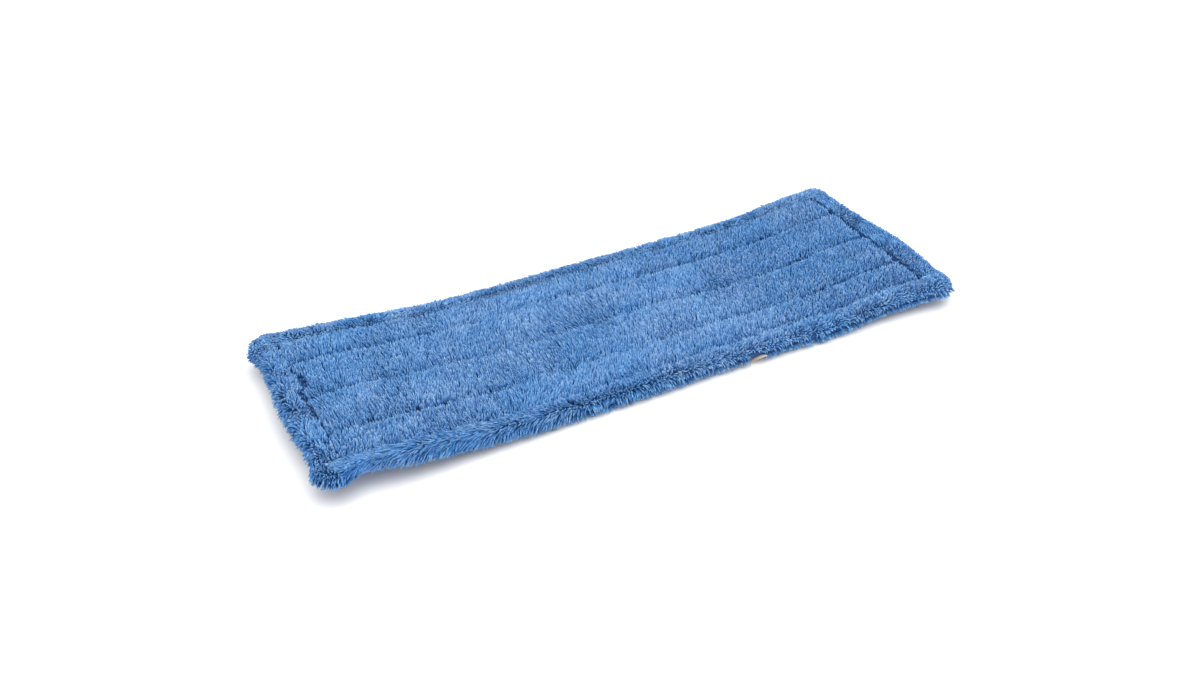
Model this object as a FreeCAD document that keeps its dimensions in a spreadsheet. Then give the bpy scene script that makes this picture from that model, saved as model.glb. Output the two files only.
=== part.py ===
import FreeCAD, Part
import os
import Sketcher

# A flat mop pad for a 40 cm folding holder, lying with its pile up. Millimetres, +X along the
# pad, +Z up. The origin is under the pad's centre, on the surface that the pockets rest on.
# The pad folds across its middle, so each textile piece is made as a left and a right half.
# The right half is drawn, and the left half is the same solids turned half round about Z.

SIZES = {
    "pad_length": 430.0,
    "pad_width": 150.0,
    "corner_radius": 12.0,
    "fold_gap": 0.3,            # between the two halves, at the fold
    "hem_width": 15.0,          # from the pad's edge to the middle of the border seam
    "hem_wrap": 4.0,            # pile cloth outside the edge of the core
    "hem_fold": 1.2,            # hem cloth turned under the pad
    "hem_roll": 3.5,            # roundness of the hem's outer edge
    "seam_groove": 3.0,         # width of the groove that a seam pulls into the pile
    "seam_spacing": 36.0,       # between the quilting seams
    "backing_thickness": 1.0,
    "core_thickness": 3.0,
    "pile_height": 6.4,         # ground cloth and pile together
    "ground_thickness": 1.2,
    "channel_round": 1.2,       # roundness of the quilted channels
    "pocket_mouth": 78.0,       # from the pad's centre to the pocket's mouth
    "pocket_cloth": 0.8,
    "pocket_room": 7.0,         # height inside the pocket
    "pocket_rim": 6.0,          # flat margin that sews the pocket to the hem
    "pocket_inset": 6.0,        # from the pad's edge to the pocket's rim
    "mouth_hem_width": 10.0,
    "mouth_hem_thickness": 0.7,
    "thread_thickness": 0.8,
    "pocket_thread": 0.6,
    "thread_clearance": 0.1,
    "bartack_length": 8.0,
    "bartack_width": 3.0,
    "label_length": 24.0,
    "label_width": 20.0,
    "label_thickness": 0.6,
    "label_start": 52.0,        # from the pad's centre to the label
    "label_inset": 3.0,
}

# Heights of the layers, from the surface up.
POCKET_TOP = "(sizes.pocket_cloth + sizes.pocket_room)"
HEM_BOTTOM = f"({POCKET_TOP} - sizes.hem_fold)"
RIM_BOTTOM = f"({HEM_BOTTOM} - sizes.pocket_cloth)"
CORE_BOTTOM = f"({POCKET_TOP} + sizes.backing_thickness)"
FACE_BOTTOM = f"({CORE_BOTTOM} + sizes.core_thickness)"
GROUND_TOP = f"({FACE_BOTTOM} + sizes.ground_thickness)"
PAD_TOP = f"({FACE_BOTTOM} + sizes.pile_height)"

# Distances from the pad's centre, along X and along Y.
FOLD = "(sizes.fold_gap / 2)"
END = "(sizes.pad_length / 2)"
SIDE = "(sizes.pad_width / 2)"
SEAM_END = f"({END} - sizes.hem_width)"
SEAM_SIDE = f"({SIDE} - sizes.hem_width)"
FACE_END = f"({SEAM_END} - sizes.seam_groove / 2)"
FACE_SIDE = f"({SEAM_SIDE} - sizes.seam_groove / 2)"
HEM_END = f"({SEAM_END} + sizes.seam_groove / 2)"
HEM_SIDE = f"({SEAM_SIDE} + sizes.seam_groove / 2)"
CORE_END = f"({END} - sizes.hem_wrap)"
CORE_SIDE = f"({SIDE} - sizes.hem_wrap)"
RIM_END = f"({END} - sizes.pocket_inset)"
RIM_SIDE = f"({SIDE} - sizes.pocket_inset)"
POCKET_END = f"({RIM_END} - sizes.pocket_rim)"
POCKET_SIDE = f"({RIM_SIDE} - sizes.pocket_rim)"

ORIGIN_POINT = (-1, 1)          # Sketcher's own names for the sketch's origin
START, MIDDLE = 1, 3
RIGHT, LEFT = "right", "left"
NEAR, FAR = "-", ""             # the sign that a Y distance gets on each side of the pad
OPPOSITE = {"near": "far", "far": "near", "middle": "middle"}


def fill_sheet(doc):
    """The driving dimensions, one cell each."""
    sheet = doc.addObject("Spreadsheet::Sheet", "sizes")
    for row, (alias, size) in enumerate(SIZES.items(), start=1):
        sheet.set(f"A{row}", str(size))
        sheet.setAlias(f"A{row}", alias)
    doc.recompute()


def new_body(doc, side, name):
    """An empty body named after its side and its piece, with the left one turned half round."""
    body = doc.addObject("PartDesign::Body", f"{side}_{name}")
    body.AllowCompound = True
    if side == LEFT:
        half_turn = FreeCAD.Rotation(FreeCAD.Vector(0, 0, 1), 180)
        body.Placement = FreeCAD.Placement(FreeCAD.Vector(), half_turn)
    return body


def new_sketch(body, name, plane, offset):
    """A sketch on one of the body's own origin planes, moved along its normal by offset."""
    sketch = body.newObject("Sketcher::SketchObject", f"{body.Name}_{name}")
    support = next(f for f in body.Origin.OriginFeatures if f.Role == plane)
    sketch.AttachmentSupport = [(support, "")]
    sketch.MapMode = "FlatFace"
    sketch.setExpression("AttachmentOffset.Base.z", offset)
    return sketch


def bind(sketch, kind, elements, expression):
    """One sketch constraint whose value is the expression."""
    index = sketch.addConstraint(Sketcher.Constraint(kind, *elements, 1.0))
    sketch.setExpression(f"Constraints[{index}]", expression)


def add_rectangle(sketch, x_low, x_high, y_low, y_high):
    """A rectangle between two X and two Y distances."""
    corners = [FreeCAD.Vector(x, y, 0) for x, y in ((0, 0), (9, 0), (9, 9), (0, 9))]
    ends = corners[1:] + corners[:1]
    bottom, right, top, left = sketch.addGeometry(
        [Part.LineSegment(a, b) for a, b in zip(corners, ends)]
    )
    for first, second in ((bottom, right), (right, top), (top, left), (left, bottom)):
        sketch.addConstraint(Sketcher.Constraint("Coincident", first, 2, second, 1))
    for line in (bottom, top):
        sketch.addConstraint(Sketcher.Constraint("Horizontal", line))
    for line in (right, left):
        sketch.addConstraint(Sketcher.Constraint("Vertical", line))
    bind(sketch, "DistanceX", (*ORIGIN_POINT, bottom, START), x_low)
    bind(sketch, "DistanceY", (*ORIGIN_POINT, bottom, START), y_low)
    bind(sketch, "DistanceX", (*ORIGIN_POINT, top, START), x_high)
    bind(sketch, "DistanceY", (*ORIGIN_POINT, top, START), y_high)


def add_circle(sketch, across, up, diameter):
    """A circle with its centre at two distances from the sketch's origin."""
    circle = sketch.addGeometry(Part.Circle(FreeCAD.Vector(1, 1, 0), FreeCAD.Vector(0, 0, 1), 1))
    bind(sketch, "DistanceX", (*ORIGIN_POINT, circle, MIDDLE), across)
    bind(sketch, "DistanceY", (*ORIGIN_POINT, circle, MIDDLE), up)
    bind(sketch, "Diameter", (circle,), diameter)


def pad(body, sketch, length, both_ways=False):
    """Material added along the sketch's normal."""
    feature = body.newObject("PartDesign::Pad", f"{sketch.Name}_pad")
    feature.Profile = sketch
    feature.SideType = "Symmetric" if both_ways else "One side"
    feature.setExpression("Length", length)
    body.Document.recompute()
    return feature


def pocket(body, sketch, depth, upwards=False):
    """Material cut away below the sketch, or above it. It has to remove something."""
    before = body.Shape.Volume
    feature = body.newObject("PartDesign::Pocket", f"{sketch.Name}_pocket")
    feature.Profile = sketch
    feature.Reversed = upwards
    feature.setExpression("Length", depth)
    body.Document.recompute()
    if body.Shape.Volume >= before:
        raise RuntimeError(f"{feature.Name} removes nothing")
    return feature


def fillet(body, name, radius, wanted):
    """The body's tip with each edge rounded that wanted accepts."""
    base = body.Tip
    edges = [f"Edge{i}" for i, edge in enumerate(base.Shape.Edges, start=1) if wanted(edge)]
    feature = body.newObject("PartDesign::Fillet", f"{body.Name}_{name}")
    feature.Base = (base, edges)
    feature.setExpression("Radius", radius)
    body.Document.recompute()
    return feature


def is_upright(edge):
    box = edge.BoundBox
    return box.ZLength > 0.1 and max(box.XLength, box.YLength) < 0.01


def is_level(edge, height):
    box = edge.BoundBox
    return abs(box.ZMax - height) < 0.01 and abs(box.ZMin - height) < 0.01


def is_at_corner(edge, x, y):
    """Upright, at this distance from the pad's middle along X and along Y."""
    centre = edge.CenterOfMass
    return is_upright(edge) and abs(centre.x - x) < 0.01 and abs(abs(centre.y) - y) < 0.01


def is_outline(edge):
    """Near the pad's outer edge, and not on a joint between two pieces."""
    centre = edge.CenterOfMass
    band = SIZES["hem_wrap"]
    return (
        centre.x > SIZES["pad_length"] / 2 - band
        or abs(centre.y) > SIZES["pad_width"] / 2 - band
    )


def layer(doc, side, name, bottom, thickness):
    """A full layer under the face cloth, with rounded corners inside the hems."""
    body = new_body(doc, side, name)
    outline = new_sketch(body, "outline", "XY_Plane", bottom)
    add_rectangle(outline, FOLD, CORE_END, f"-{CORE_SIDE}", CORE_SIDE)
    pad(body, outline, thickness)
    round_core_corners(body)


def round_core_corners(body):
    """The corners of the core and of the slot in the hem that takes it."""
    x = SIZES["pad_length"] / 2 - SIZES["hem_wrap"]
    y = SIZES["pad_width"] / 2 - SIZES["hem_wrap"]
    fillet(
        body,
        "core_corners",
        "sizes.corner_radius - sizes.hem_wrap",
        lambda edge: is_at_corner(edge, x, y),
    )


def face_cloth(doc, side):
    """Pile cloth between the hems, with a groove where each quilting seam pulls it down."""
    body = new_body(doc, side, "face_cloth")
    outline = new_sketch(body, "outline", "XY_Plane", FACE_BOTTOM)
    add_rectangle(outline, FOLD, FACE_END, f"-{FACE_SIDE}", FACE_SIDE)
    pad(body, outline, "sizes.pile_height")
    grooves = new_sketch(body, "grooves", "XY_Plane", PAD_TOP)
    for step in (-1, 0, 1):
        centre = f"{step} * sizes.seam_spacing"
        low, high = (f"{centre} {sign} sizes.seam_groove / 2" for sign in "-+")
        add_rectangle(grooves, FOLD, FACE_END, low, high)
    pocket(body, grooves, "sizes.pile_height - sizes.ground_thickness")
    top = body.Shape.BoundBox.ZMax
    fillet(body, "channels", "sizes.channel_round", lambda edge: is_level(edge, top))


def roll_edges(body):
    """The hem's outer edge, round where the cloth turns over it and under it."""
    box = body.Tip.Shape.BoundBox
    fillet(
        body, "roll", "sizes.hem_roll", lambda edge: is_outline(edge) and is_level(edge, box.ZMax)
    )
    fillet(
        body, "turn", "sizes.hem_fold", lambda edge: is_outline(edge) and is_level(edge, box.ZMin)
    )


def long_hem(doc, side, place, sign):
    """The hem along one long edge, round the pad's corner: a strip folded over the core."""
    body = new_body(doc, side, f"{place}_hem")
    outline = new_sketch(body, "outline", "XY_Plane", HEM_BOTTOM)
    add_rectangle(outline, FOLD, END, f"{sign}{HEM_SIDE}", f"{sign}{SIDE}")
    pad(body, outline, f"{PAD_TOP} - {HEM_BOTTOM}")
    slot = new_sketch(body, "slot", "XY_Plane", POCKET_TOP)
    add_rectangle(slot, FOLD, CORE_END, f"{sign}{HEM_SIDE}", f"{sign}{CORE_SIDE}")
    pocket(body, slot, f"{FACE_BOTTOM} - {POCKET_TOP}", upwards=True)
    round_core_corners(body)
    x, y = SIZES["pad_length"] / 2, SIZES["pad_width"] / 2
    fillet(body, "corner", "sizes.corner_radius", lambda edge: is_at_corner(edge, x, y))
    roll_edges(body)


def end_hem(doc, side):
    """The hem across the pad's end, between the two long hems."""
    body = new_body(doc, side, "end_hem")
    outline = new_sketch(body, "outline", "XY_Plane", HEM_BOTTOM)
    add_rectangle(outline, HEM_END, END, f"-{HEM_SIDE}", HEM_SIDE)
    pad(body, outline, f"{PAD_TOP} - {HEM_BOTTOM}")
    slot = new_sketch(body, "slot", "XY_Plane", POCKET_TOP)
    add_rectangle(slot, HEM_END, CORE_END, f"-{HEM_SIDE}", HEM_SIDE)
    pocket(body, slot, f"{FACE_BOTTOM} - {POCKET_TOP}", upwards=True)
    roll_edges(body)


def pocket_panel(doc, side):
    """The pocket under the pad's end, standing open: closed on three sides, with a sewn rim."""
    body = new_body(doc, side, "pocket_panel")
    rim = new_sketch(body, "rim", "XY_Plane", RIM_BOTTOM)
    add_rectangle(rim, "sizes.pocket_mouth", RIM_END, f"-{RIM_SIDE}", RIM_SIDE)
    pad(body, rim, "sizes.pocket_cloth")
    tray = new_sketch(body, "tray", "XY_Plane", "0")
    add_rectangle(tray, "sizes.pocket_mouth", POCKET_END, f"-{POCKET_SIDE}", POCKET_SIDE)
    pad(body, tray, HEM_BOTTOM)
    inside = new_sketch(body, "inside", "XY_Plane", "sizes.pocket_cloth")
    add_rectangle(
        inside,
        "sizes.pocket_mouth",
        f"{POCKET_END} - sizes.pocket_cloth",
        f"-({POCKET_SIDE} - sizes.pocket_cloth)",
        f"{POCKET_SIDE} - sizes.pocket_cloth",
    )
    pocket(body, inside, "sizes.pocket_room", upwards=True)


def pocket_mouth_hem(doc, side):
    """The turned edge of the pocket's mouth, a second thickness of cloth inside it."""
    body = new_body(doc, side, "pocket_mouth_hem")
    outline = new_sketch(body, "outline", "XY_Plane", "sizes.pocket_cloth")
    reach = f"({POCKET_SIDE} - 2 * sizes.pocket_cloth)"
    mouth_hem_end = "sizes.pocket_mouth + sizes.mouth_hem_width"
    add_rectangle(outline, "sizes.pocket_mouth", mouth_hem_end, f"-{reach}", reach)
    pad(body, outline, "sizes.mouth_hem_thickness")


def pocket_seam_thread(doc, side):
    """The lockstitch on the pocket's rim: along both sides and across the end."""
    body = new_body(doc, side, "pocket_seam_thread")
    height = f"{RIM_BOTTOM} - sizes.thread_clearance - sizes.pocket_thread"
    start = "sizes.pocket_mouth + 2 * sizes.bartack_length"
    end, across = f"{RIM_END} - sizes.pocket_rim / 2", f"({RIM_SIDE} - sizes.pocket_rim / 2)"
    outline = new_sketch(body, "outline", "XY_Plane", height)
    add_rectangle(outline, start, end, f"-{across}", across)
    pad(body, outline, "sizes.pocket_thread")
    inside = new_sketch(body, "inside", "XY_Plane", height)
    inner = f"({across} - sizes.pocket_thread)"
    add_rectangle(inside, start, f"{end} - sizes.pocket_thread", f"-{inner}", inner)
    pocket(body, inside, "sizes.pocket_thread", upwards=True)


def pocket_bartacks(doc, side):
    """The two bars of dense stitches that hold the corners of the pocket's mouth."""
    body = new_body(doc, side, "pocket_bartacks")
    height = f"{RIM_BOTTOM} - sizes.thread_clearance - sizes.thread_thickness"
    outline = new_sketch(body, "outline", "XY_Plane", height)
    centre = f"({RIM_SIDE} - sizes.pocket_rim / 2)"
    low, high = (f"({centre} {sign} sizes.bartack_width / 2)" for sign in "-+")
    start = "(sizes.pocket_mouth + sizes.thread_thickness)"
    bartack_end = f"{start} + sizes.bartack_length"
    add_rectangle(outline, start, bartack_end, low, high)
    add_rectangle(outline, start, bartack_end, f"-{high}", f"-{low}")
    pad(body, outline, "sizes.thread_thickness")


def long_thread(doc, side, name, across, ground):
    """One seam along the pad, lying in the bottom of its groove."""
    body = new_body(doc, side, name)
    profile = new_sketch(body, "profile", "YZ_Plane", FOLD)
    height = f"{ground} + sizes.thread_clearance + sizes.thread_thickness / 2"
    add_circle(profile, across, height, "sizes.thread_thickness")
    pad(body, profile, f"{FACE_END} - {FOLD}")


def end_thread(doc, side):
    """The seam across the pad's end, between the face cloth and the end hem."""
    body = new_body(doc, side, "end_seam_thread")
    profile = new_sketch(body, "profile", "XZ_Plane", "0")
    height = f"{FACE_BOTTOM} + sizes.thread_clearance + sizes.thread_thickness / 2"
    add_circle(profile, SEAM_END, height, "sizes.thread_thickness")
    pad(body, profile, f"2 * {FACE_SIDE}", both_ways=True)


def care_label(doc):
    """A blank woven label caught under the near hem of the right half."""
    body = new_body(doc, RIGHT, "care_label")
    outline = new_sketch(body, "outline", "XY_Plane", f"{HEM_BOTTOM} - sizes.label_thickness")
    edge = f"({SIDE} - sizes.label_inset)"
    add_rectangle(
        outline,
        "sizes.label_start - sizes.label_length / 2",
        "sizes.label_start + sizes.label_length / 2",
        f"-{edge}",
        f"-({edge} - sizes.label_width)",
    )
    pad(body, outline, "sizes.label_thickness")


def build_half(doc, side):
    """Every piece of one half. Turning the left half round swaps its near and far edges."""
    place = {name: name if side == RIGHT else OPPOSITE[name] for name in OPPOSITE}
    layer(doc, side, "backing_cloth", POCKET_TOP, "sizes.backing_thickness")
    layer(doc, side, "absorbent_core", CORE_BOTTOM, "sizes.core_thickness")
    face_cloth(doc, side)
    long_hem(doc, side, place["near"], NEAR)
    long_hem(doc, side, place["far"], FAR)
    end_hem(doc, side)
    pocket_panel(doc, side)
    pocket_mouth_hem(doc, side)
    pocket_seam_thread(doc, side)
    pocket_bartacks(doc, side)
    for name, across in (("near", f"-{SEAM_SIDE}"), ("far", SEAM_SIDE)):
        long_thread(doc, side, f"{place[name]}_border_thread", across, FACE_BOTTOM)
    for name, step in (("near", -1), ("middle", 0), ("far", 1)):
        across = f"{step} * sizes.seam_spacing"
        long_thread(doc, side, f"{place[name]}_quilting_thread", across, GROUND_TOP)
    end_thread(doc, side)


def check(doc):
    """Stops on any failed object, and on any body without a sound solid."""
    for thing in doc.Objects:
        if "Invalid" in thing.State or "Error" in thing.State:
            raise RuntimeError(f"{thing.Name} failed: {thing.State}")
    bodies = [thing for thing in doc.Objects if thing.TypeId == "PartDesign::Body"]
    for body in bodies:
        if body.Shape.isNull() or not body.Shape.isValid() or not body.Shape.Solids:
            raise RuntimeError(f"{body.Label} has no valid solid")
    return bodies


def main():
    os.makedirs("parts", exist_ok=True)
    doc = FreeCAD.newDocument("flat_mop_pad")
    fill_sheet(doc)
    for side in (LEFT, RIGHT):
        build_half(doc, side)
    care_label(doc)
    doc.recompute()
    for body in check(doc):
        body.Shape.exportStep(f"parts/{body.Label}.step")
        print(f"{body.Label}: {len(body.Shape.Solids)} solid, {body.Shape.Volume:.0f} mm3")


main()
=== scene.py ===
import math

import bpy
import numpy as np
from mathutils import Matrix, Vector


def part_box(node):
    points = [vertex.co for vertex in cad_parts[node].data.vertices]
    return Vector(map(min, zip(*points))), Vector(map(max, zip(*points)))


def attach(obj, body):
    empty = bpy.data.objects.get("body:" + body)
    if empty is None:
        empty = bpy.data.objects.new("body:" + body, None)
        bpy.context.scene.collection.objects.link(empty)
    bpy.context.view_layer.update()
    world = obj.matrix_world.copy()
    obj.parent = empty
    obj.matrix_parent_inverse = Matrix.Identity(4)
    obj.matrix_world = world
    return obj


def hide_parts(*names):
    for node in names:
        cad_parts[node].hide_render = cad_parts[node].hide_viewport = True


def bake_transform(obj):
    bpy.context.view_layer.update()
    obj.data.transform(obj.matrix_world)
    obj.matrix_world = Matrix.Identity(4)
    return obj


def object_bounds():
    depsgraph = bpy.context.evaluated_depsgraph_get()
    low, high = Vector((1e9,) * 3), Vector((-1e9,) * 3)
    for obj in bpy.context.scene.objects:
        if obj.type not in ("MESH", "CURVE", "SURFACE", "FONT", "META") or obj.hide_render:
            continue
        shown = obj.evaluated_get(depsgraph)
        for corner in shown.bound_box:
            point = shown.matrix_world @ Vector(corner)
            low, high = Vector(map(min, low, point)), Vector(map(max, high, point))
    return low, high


# A microfibre flat mop pad, pile up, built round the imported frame. Metres, in the frame's axes.
# Heights are counted from the pad's underside, which sags to the floor in the middle and is
# held up at the two ends by the pockets under it.

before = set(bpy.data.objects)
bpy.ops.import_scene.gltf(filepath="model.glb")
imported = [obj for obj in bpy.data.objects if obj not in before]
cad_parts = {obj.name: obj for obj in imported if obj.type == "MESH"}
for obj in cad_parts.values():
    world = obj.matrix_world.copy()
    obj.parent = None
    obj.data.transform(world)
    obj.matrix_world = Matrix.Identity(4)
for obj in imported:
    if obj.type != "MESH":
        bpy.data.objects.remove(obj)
cad_low, cad_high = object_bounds()

MM = 0.001

# Places that the frame sets.
HALF_LENGTH = cad_high.x
HALF_WIDTH = cad_high.y
CORE_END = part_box("right_absorbent_core")[1].x
CORE_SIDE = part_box("right_absorbent_core")[1].y
POCKET_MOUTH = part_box("right_pocket_panel")[0].x
RIM_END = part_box("right_pocket_panel")[1].x
RIM_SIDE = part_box("right_pocket_panel")[1].y


def middle(node, axis):
    """The centre of a CAD node along one axis."""
    low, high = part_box(node)
    return (low[axis] + high[axis]) / 2


SEAM_END = middle("right_end_seam_thread", 0)
SEAM_SIDE = middle("right_far_border_thread", 1)
QUILTING = {
    name: middle(f"right_{name}_quilting_thread", 1) for name in ("near", "middle", "far")
}
SEAM_LINES = [-SEAM_SIDE, *sorted(QUILTING.values()), SEAM_SIDE]

# Thicknesses of the layers.
BACKING = 1.0 * MM
FLAT_CORE = 1.0 * MM           # the core where a seam presses it flat
PUFF = 1.1 * MM                # what it rises by between the seams
GROUND = 0.8 * MM
PANEL = 0.6 * MM

# How the pad lies.
REST_HEIGHT = 1.3 * MM         # the underside over the floor, in the middle
LEFT_LIFT = 9.0 * MM
RIGHT_FAR_LIFT = 9.0 * MM
RIGHT_NEAR_LIFT = 5.5 * MM
FLOOR_GAP = 0.3 * MM
STRETCH = 66 * MM              # the pile is made in three stretches, parted here

# Pile and stitches.
FIELD_SPACING = 1.0 * MM
FIELD_LENGTH = 5.0 * MM
HEM_SPACING = 0.8 * MM
HEM_OVER = 6.4 * MM            # the strands that lie over the roll
HEM_BELOW = 4.8 * MM           # the short ones under the crease
STRAND_RADIUS = 0.42 * MM
CLUMP = 2.2 * MM
STITCH_PITCH = 5.6 * MM
STITCH_RADIUS = 0.33 * MM
POCKET_STITCH = 3.2 * MM
BARTACK_ROWS = 16
BARTACK_WIDTH = 3.0 * MM

# The pocket cloth, the turned edge of its mouth, and its simulation.
SEWN_MARGIN = 4.5 * MM         # from the pocket's edge to inside its seam
TURNING = 10 * MM              # width of the turned edge
TURNING_INSET = 8 * MM         # from the pocket's side to the end of the turned edge
SLACK_GRID = (72, 76)          # points of the simulated cloth, along X and along Y
SLACK_DROP = 2.5 * MM          # how far over its place the loose cloth starts
SLACK_STEPS = 24               # frames that it falls for
STOP_DEPTH = 1.55 * MM         # how far under FLOOR_GAP the plane it falls on lies

# Where the near hem is clear of strands: up to CLEAR_UP round the roll in the stretch before
# and after the label's end, and up to CLEAR_UNDER all along the label.
CLEAR_BEFORE = 7.5 * MM
CLEAR_AFTER = 3.5 * MM
CLEAR_UP = math.radians(40)
CLEAR_UNDER = math.radians(-30)

# The rolled hem: an elliptic roll round the edge of the core.
HEM_INSET = 8.8 * MM           # from the outline to the middle of the roll
HEM_ACROSS = 5.6 * MM
HEM_UP = 2.9 * MM
HEM_CENTRE = 3.4 * MM          # over the underside
HEM_CORNER = 3.6 * MM          # radius of the roll's own middle line

# Places round the roll, as angles from straight outwards towards up and over.
CREASE = math.radians(12)      # where the long strands and the short ones part
OVER_FROM = CREASE + math.radians(12)
OVER_TO = math.radians(172)
BELOW_FROM = math.radians(-55)
BELOW_TO = CREASE - math.radians(4)
DROOPING = math.radians(95), math.radians(30)     # from no droop to all of it
RISING = math.radians(100), math.radians(150)     # from no lift to all of it


# ---------------------------------------------------------------- fields

def smoothstep(low, high, value):
    t = np.clip((value - low) / (high - low), 0, 1)
    return t * t * (3 - 2 * t)


def ripple(x, y, size, seed, waves=7):
    """A smooth random field of about -1 to 1, whose bumps are about size across."""
    rng = np.random.default_rng(seed)
    total = np.zeros(np.broadcast(x, y).shape)
    for _ in range(waves):
        heading, phase = rng.uniform(0, 2 * math.pi, 2)
        pitch = size * rng.uniform(1.4, 3.0)
        along = (x * math.cos(heading) + y * math.sin(heading)) / pitch
        total = total + np.sin(2 * math.pi * along + phase)
    return total / math.sqrt(waves)


def lift(x, y):
    """Height of the pad's underside over the floor."""
    share = np.clip(0.5 + y / (2 * HALF_WIDTH), 0, 1)
    right_lift = RIGHT_NEAR_LIFT + (RIGHT_FAR_LIFT - RIGHT_NEAR_LIFT) * share
    left = LEFT_LIFT * smoothstep(0.070, 0.200, -x)
    right = right_lift * smoothstep(0.105, 0.222, x)
    return REST_HEIGHT + left + right + 0.35 * MM * (1 + ripple(x, y, 0.05, 11))


def crown(x, y):
    """How far the core is puffed up: 0 on a seam and under the hems, 1 between the seams."""
    inside = (np.abs(y) < SEAM_SIDE) & (np.abs(x) < SEAM_END)
    rise = 1 - np.exp(-(((SEAM_END - np.abs(x)) / (4 * MM)) ** 2))
    for line in SEAM_LINES:
        rise = rise * (1 - np.exp(-(((y - line) / (4 * MM)) ** 2)))
    return np.where(inside, rise, 0)


def tuck(x, y):
    """How far the layers rise into the roll of the hem, at the pad's edge."""
    from_end = smoothstep(SEAM_END - 1 * MM, SEAM_END + 3 * MM, np.abs(x))
    from_side = smoothstep(SEAM_SIDE - 1 * MM, SEAM_SIDE + 3 * MM, np.abs(y))
    return 1.4 * MM * np.maximum(from_end, from_side)


def backing_low(x, y):
    return lift(x, y) + tuck(x, y)


def backing_high(x, y):
    return backing_low(x, y) + BACKING


def core_high(x, y):
    return backing_high(x, y) + FLAT_CORE + PUFF * crown(x, y)


def ground_high(x, y):
    return core_high(x, y) + GROUND


def upright(height, x, y, step=0.5 * MM):
    """Unit normals of a height field."""
    slope_x = (height(x + step, y) - height(x - step, y)) / (2 * step)
    slope_y = (height(x, y + step) - height(x, y - step)) / (2 * step)
    return unit(np.stack([-slope_x, -slope_y, np.ones_like(x)], -1))


def unit(vectors):
    return vectors / np.maximum(np.linalg.norm(vectors, axis=-1, keepdims=True), 1e-12)


# ---------------------------------------------------------------- meshes

def mesh_object(name, points, face_sets, material, **attributes):
    """A smooth mesh from points and arrays of faces, with one number for each point per attribute."""
    mesh = bpy.data.meshes.new(name)
    corners = np.concatenate([faces.ravel() for faces in face_sets])
    sizes = np.concatenate([np.full(len(faces), faces.shape[1]) for faces in face_sets])
    mesh.vertices.add(len(points))
    mesh.vertices.foreach_set("co", points.astype(np.float32).ravel())
    mesh.loops.add(len(corners))
    mesh.loops.foreach_set("vertex_index", corners.astype(np.int32))
    mesh.polygons.add(len(sizes))
    starts = np.concatenate([[0], np.cumsum(sizes)[:-1]])
    mesh.polygons.foreach_set("loop_start", starts.astype(np.int32))
    mesh.update(calc_edges=True)
    mesh.polygons.foreach_set("use_smooth", np.ones(len(sizes), bool))
    for key, values in attributes.items():
        layer = mesh.attributes.new(key, "FLOAT", "POINT")
        layer.data.foreach_set("value", values.astype(np.float32).ravel())
    mesh.materials.append(material)
    piece = bpy.data.objects.new(name, mesh)
    bpy.context.scene.collection.objects.link(piece)
    return piece


def rings_object(name, rings, material, **attributes):
    """Closed tubes from an array of tubes, rings, sides and coordinates, with both ends capped."""
    tubes, count, sides, _ = rings.shape
    index = np.arange(tubes * count * sides).reshape(tubes, count, sides)
    turned = np.roll(index, -1, axis=2)
    walls = np.stack([index[:, :-1], turned[:, :-1], turned[:, 1:], index[:, 1:]], -1)
    first, last = index[:, 0, ::-1], index[:, -1]
    faces = [walls.reshape(-1, 4), first, last]
    return mesh_object(name, rings.reshape(-1, 3), faces, material, **attributes)


def tubes_object(name, centres, radii, sides, material, rng, twist=0.0, start=0.0, tone=None):
    """Round tubes along rows of centres, such as strands, stitches and threads.

    start is how far along the strand's colours its root is; these colours are painted shade at the
    root and a painted highlight at the tip. tone is each strand's own shade."""
    count = centres.shape[1]
    tangents = unit(np.gradient(centres, axis=1))
    chord = unit(centres[:, -1] - centres[:, 0])
    random_side = unit(np.cross(chord, unit(rng.normal(size=chord.shape))))
    across = unit(np.cross(tangents, random_side[:, None, :]))
    up = np.cross(across, tangents)
    angles = 2 * math.pi * np.arange(sides) / sides
    angles = angles[None, :] + twist * np.arange(count)[:, None]
    cosine, sine = np.cos(angles)[None, ..., None], np.sin(angles)[None, ..., None]
    rings = centres[:, :, None, :] + radii[:, :, None, None] * (
        across[:, :, None, :] * cosine + up[:, :, None, :] * sine
    )
    # along runs from root to tip: the pile material paints shade at its low end and a highlight at its
    # high end.
    start = np.broadcast_to(start, len(centres))[:, None, None]
    along = start + (1 - start) * np.linspace(0, 1, count)[None, :, None]
    along = np.broadcast_to(along, rings.shape[:3])
    tone = rng.uniform(0, 1, len(centres)) if tone is None else tone
    tones = np.broadcast_to(tone[:, None, None], rings.shape[:3])
    return rings_object(name, rings, material, along=along, tone=tones)


def grid_faces(shape):
    """The numbers of a grid's points, and its faces."""
    index = np.arange(shape[0] * shape[1]).reshape(shape)
    quads = np.stack([index[:-1, :-1], index[1:, :-1], index[1:, 1:], index[:-1, 1:]], -1)
    return index, quads.reshape(-1, 4)


def shell_object(name, x, y, low, high, material):
    """A closed sheet over a grid of x and y, between two height fields."""
    top = np.stack([x, y, high(x, y)], -1)
    bottom = np.stack([x, y, low(x, y)], -1)
    index, quads = grid_faces(x.shape)
    border = np.concatenate([index[:-1, 0], index[-1, :-1], index[:0:-1, -1], index[0, :0:-1]])
    after = np.roll(border, -1)
    walls = np.stack([border, border + x.size, after + x.size, after], -1)
    flipped = quads[:, ::-1] + x.size
    points = np.concatenate([top.reshape(-1, 3), bottom.reshape(-1, 3)])
    return mesh_object(name, points, [quads, flipped, walls], material)


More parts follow.
